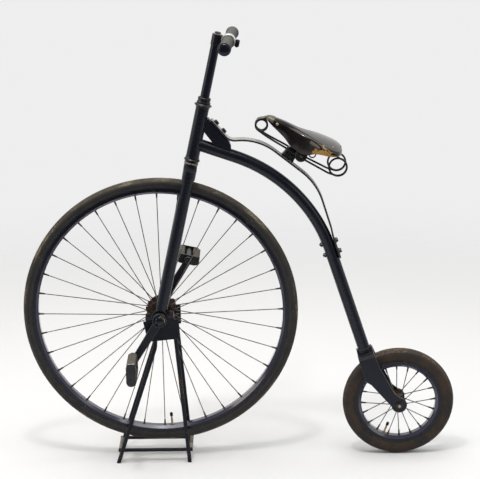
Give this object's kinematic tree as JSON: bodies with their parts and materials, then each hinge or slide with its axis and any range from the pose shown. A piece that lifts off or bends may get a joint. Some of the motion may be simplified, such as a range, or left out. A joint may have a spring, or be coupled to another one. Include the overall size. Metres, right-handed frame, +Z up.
{
  "type": "penny farthing bicycle",
  "caption": "High-wheel bicycle with a large cranked front wheel, a curved backbone, a small rear wheel, a sprung leather saddle and a wire display stand.",
  "frame": {"origin": "centre of the bounding box on the floor", "axes": "+Z up, -X the way the bicycle faces, +Y to the rider's right"},
  "size_m": [1.0764, 0.334, 1.0863],
  "materials": {
    "frame_paint": "gloss",
    "stand_paint": "satin",
    "rim_paint": "gloss",
    "tyre_rubber": "matt",
    "spoke_steel": "satin",
    "rusty_steel": "rough",
    "plated_steel": "satin",
    "brass": "satin",
    "grip_rubber": "matt",
    "pedal_rubber": "matt",
    "black_steel": "satin",
    "leather": "worn",
    "nose_metal": "satin"
  },
  "bodies": {
    "front_assembly": {"fork_crown": "frame_paint", "fork_leg_left": "frame_paint", "fork_leg_right": "frame_paint", "bearing_caps": "frame_paint", "bearing_bolts": "rusty_steel", "headset_lower_race": "plated_steel", "headset_locknut": "plated_steel", "stem": "frame_paint", "stem_bolt": "plated_steel", "handlebar": "plated_steel", "grip_left": "grip_rubber", "grip_right": "grip_rubber", "stand_brackets": "stand_paint", "stand_front_legs": "stand_paint", "stand_rear_legs": "stand_paint", "stand_rails": "stand_paint", "stand_cross_rods": "stand_paint"},
    "front_wheel": {"front_tyre": "tyre_rubber", "front_rim": "rim_paint", "front_spokes": "spoke_steel", "front_hub": "rusty_steel", "front_axle": "rusty_steel", "front_valve": "brass", "crank_left": "frame_paint", "crank_right": "frame_paint", "crank_dust_caps": "black_steel", "pedal_spindle_left": "plated_steel", "pedal_spindle_right": "plated_steel"},
    "pedal_left": {"pedal_body_left": "black_steel", "pedal_rubbers_left": "pedal_rubber"},
    "pedal_right": {"pedal_body_right": "black_steel", "pedal_rubbers_right": "pedal_rubber"},
    "frame": {"head_tube": "frame_paint", "headset_lower_cup": "plated_steel", "headset_upper_cup": "plated_steel", "backbone": "frame_paint", "head_gusset": "frame_paint", "saddle_leaf_spring": "black_steel", "leaf_spring_bolts": "plated_steel", "saddle_clamp": "black_steel", "saddle_front_springs": "black_steel", "saddle_rear_springs": "black_steel", "saddle_leather": "leather", "saddle_nose_plate": "nose_metal", "saddle_cantle_plate": "black_steel", "rear_fork_crown": "frame_paint", "rear_fork_blades": "frame_paint", "rear_axle": "plated_steel"},
    "rear_wheel": {"rear_tyre": "tyre_rubber", "rear_rim": "rim_paint", "rear_spokes": "spoke_steel", "rear_hub": "rusty_steel", "rear_valve": "brass"}
  },
  "joints": [
    {"name": "front_wheel_spin", "type": "hinge", "parent": "front_assembly", "child": "front_wheel", "pos_m": [-0.1962, 0, 0.386], "axis": [0, 1, 0], "continuous": true},
    {"name": "pedal_left_spin", "type": "hinge", "parent": "front_wheel", "child": "pedal_left", "pos_m": [-0.2635, -0.125, 0.2783], "axis": [0, 1, 0], "continuous": true},
    {"name": "pedal_right_spin", "type": "hinge", "parent": "front_wheel", "child": "pedal_right", "pos_m": [-0.1289, 0.125, 0.4937], "axis": [0, 1, 0], "continuous": true},
    {"name": "steering", "type": "hinge", "parent": "front_assembly", "child": "frame", "pos_m": [-0.0988, 0, 0.82533], "axis": [0.2164, 0, 0.9763], "range_deg": [-90, 90]},
    {"name": "rear_wheel_spin", "type": "hinge", "parent": "frame", "child": "rear_wheel", "pos_m": [0.3982, 0, 0.14], "axis": [0, 1, 0], "continuous": true}
  ]
}
